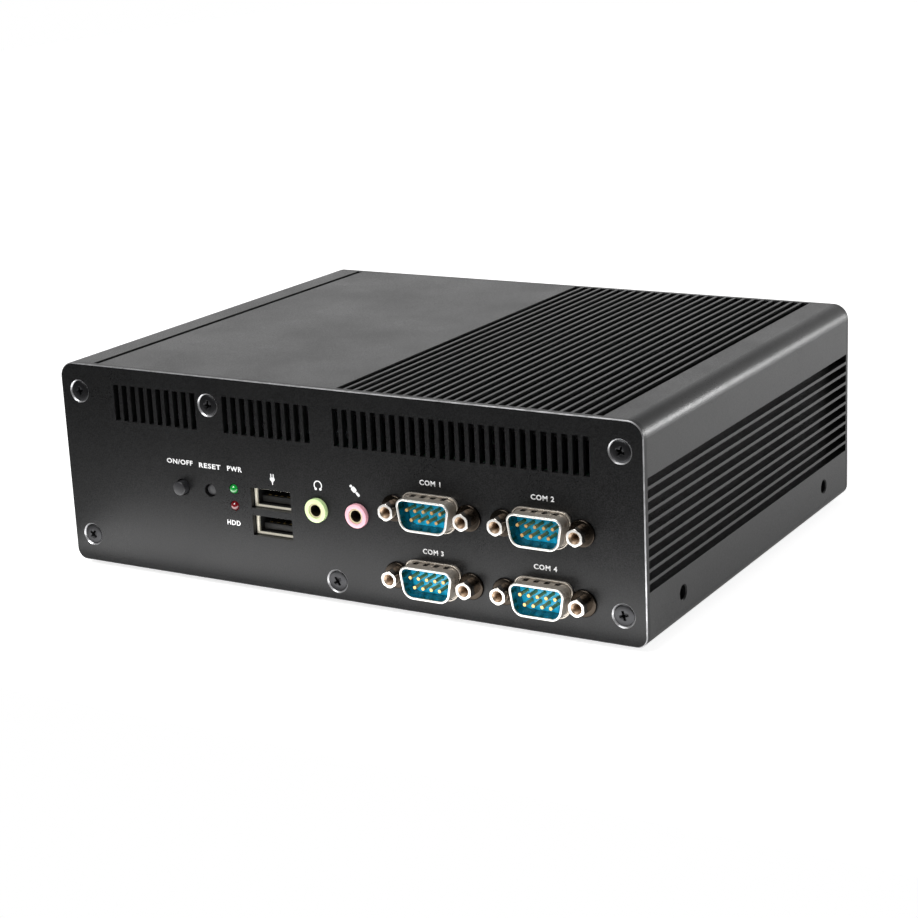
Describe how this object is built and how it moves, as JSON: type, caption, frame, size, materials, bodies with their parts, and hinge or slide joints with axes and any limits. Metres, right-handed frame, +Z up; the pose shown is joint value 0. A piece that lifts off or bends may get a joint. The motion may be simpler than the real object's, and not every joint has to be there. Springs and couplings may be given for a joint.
{
  "type": "fanless industrial pc",
  "caption": "Low fanless computer in a black finned aluminium case with screwed end plates, serial, USB and audio ports, two buttons and lamps on its front.",
  "frame": {"origin": "on the surface the feet stand on, under the middle of the enclosure", "axes": "+X to the right of the front plate, +Y from the front plate to the rear plate, +Z up"},
  "size_m": [0.202, 0.1664, 0.067],
  "materials": {
    "black_anodised": "fine blasted black anodising, low sheen",
    "black_screw": "black oxide, satin",
    "nickel_screw": "bright nickel plating",
    "tinned_shell": "formed sheet steel, tin plated",
    "gold_contact": "gold plated pins",
    "teal_plastic": "moulded, dark blue-green",
    "blue_plastic": "moulded, blue",
    "black_plastic": "moulded, matt",
    "lime_plastic": "moulded, light green",
    "pink_plastic": "moulded, pink",
    "grey_plastic": "moulded, grey",
    "green_lens": "tinted epoxy",
    "red_lens": "tinted epoxy",
    "circuit_board": "green solder mask",
    "chip": "black moulding with a metal lid",
    "soft_pad": "grey gap filler",
    "bare_aluminium": "milled",
    "zinc_sheet": "zinc plated sheet",
    "drive_case": "brushed case",
    "rubber_foot": "soft black rubber"
  },
  "bodies": {
    "enclosure": {"base_channel": "black_anodised", "battery_holder": "black_plastic", "board_capacitors": "tinned_shell", "board_coils": "grey_plastic", "board_link": "black_plastic", "board_screws": "nickel_screw", "board_standoffs": "nickel_screw", "button_switches": "black_plastic", "clock_battery": "tinned_shell", "com_1_insulator": "teal_plastic", "com_1_pins": "gold_contact", "com_1_shell": "tinned_shell", "com_2_insulator": "teal_plastic", "com_2_pins": "gold_contact", "com_2_shell": "tinned_shell", "com_3_insulator": "teal_plastic", "com_3_pins": "gold_contact", "com_3_shell": "tinned_shell", "com_4_insulator": "teal_plastic", "com_4_pins": "gold_contact", "com_4_shell": "tinned_shell", "drive_bracket": "zinc_sheet", "drive_led": "red_lens", "drive_screws": "nickel_screw", "finned_cover": "black_anodised", "front_panel": "black_anodised", "hdmi_core": "black_plastic", "hdmi_shell": "tinned_shell", "headphone_jack": "lime_plastic", "heat_block": "bare_aluminium", "io_board": "circuit_board", "jack_sleeves": "gold_contact", "lan_usb_a_core": "black_plastic", "lan_usb_a_shell": "tinned_shell", "lan_usb_b_core": "black_plastic", "lan_usb_b_shell": "tinned_shell", "led_spacers": "black_plastic", "main_board": "circuit_board", "memory_module": "circuit_board", "memory_socket": "black_plastic", "mic_jack": "pink_plastic", "panel_screws": "black_screw", "port_jackscrews": "nickel_screw", "power_inlet": "black_plastic", "power_inlet_pin": "nickel_screw", "power_led": "green_lens", "processor": "chip", "rear_panel": "black_anodised", "rubber_feet": "rubber_foot", "solid_state_drive": "drive_case", "thermal_pad": "soft_pad", "usb_contacts": "gold_contact", "usb_core": "black_plastic", "usb_shell": "tinned_shell", "vga_core": "blue_plastic", "vga_shell": "tinned_shell"},
    "power_cap": {"power_button": "black_plastic"},
    "reset_cap": {"reset_button": "grey_plastic"}
  },
  "joints": [
    {"name": "power_press", "type": "slide", "parent": "enclosure", "child": "power_cap", "axis": [0, 1, 0], "range_m": [0, 0.0005], "stiffness_N_per_m": 1000, "springref_m": -0.0005},
    {"name": "reset_press", "type": "slide", "parent": "enclosure", "child": "reset_cap", "axis": [0, 1, 0], "range_m": [0, 0.0005], "stiffness_N_per_m": 1000, "springref_m": -0.0005}
  ]
}
